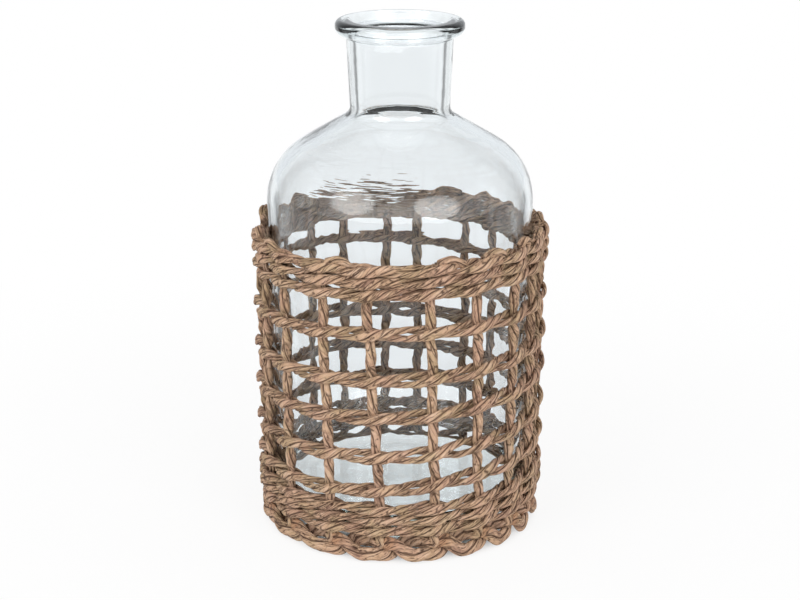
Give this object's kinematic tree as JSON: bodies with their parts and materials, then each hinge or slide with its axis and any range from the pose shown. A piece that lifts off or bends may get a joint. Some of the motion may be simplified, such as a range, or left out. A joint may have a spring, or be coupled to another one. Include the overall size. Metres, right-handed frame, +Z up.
{
  "type": "candle holder",
  "caption": "Bottle-shaped glass candle holder with a short neck and thick lip, standing in a lift-off openwork basket of twisted paper cord.",
  "frame": {"origin": "centre of the foot on the table", "axes": "+Z up along the bottle's axis, -Y towards the front that the picture shows"},
  "size_m": [0.0926, 0.0918, 0.16],
  "materials": {
    "pale_green_glass": "clear, smooth",
    "twisted_paper_cord": "matt twisted kraft paper"
  },
  "bodies": {
    "basket": {"basket_stake_01": "twisted_paper_cord", "basket_stake_02": "twisted_paper_cord", "basket_stake_03": "twisted_paper_cord", "basket_stake_04": "twisted_paper_cord", "basket_stake_05": "twisted_paper_cord", "basket_stake_06": "twisted_paper_cord", "basket_stake_07": "twisted_paper_cord", "basket_stake_08": "twisted_paper_cord", "basket_stake_09": "twisted_paper_cord", "basket_stake_10": "twisted_paper_cord", "basket_stake_11": "twisted_paper_cord", "basket_stake_12": "twisted_paper_cord", "basket_stake_13": "twisted_paper_cord", "basket_stake_14": "twisted_paper_cord", "basket_stake_15": "twisted_paper_cord", "basket_stake_16": "twisted_paper_cord", "basket_stake_17": "twisted_paper_cord", "basket_stake_18": "twisted_paper_cord", "foot_band_strand_a": "twisted_paper_cord", "foot_band_strand_b": "twisted_paper_cord", "openwork_strand_a": "twisted_paper_cord", "openwork_strand_b": "twisted_paper_cord", "rim_band_strand_a": "twisted_paper_cord", "rim_band_strand_b": "twisted_paper_cord"},
    "bottle": {"glass_bottle": "pale_green_glass"}
  },
  "joints": [
    {"name": "bottle_lift", "type": "slide", "parent": "basket", "child": "bottle", "axis": [0, 0, 1], "range_m": [0, 0.105]}
  ]
}
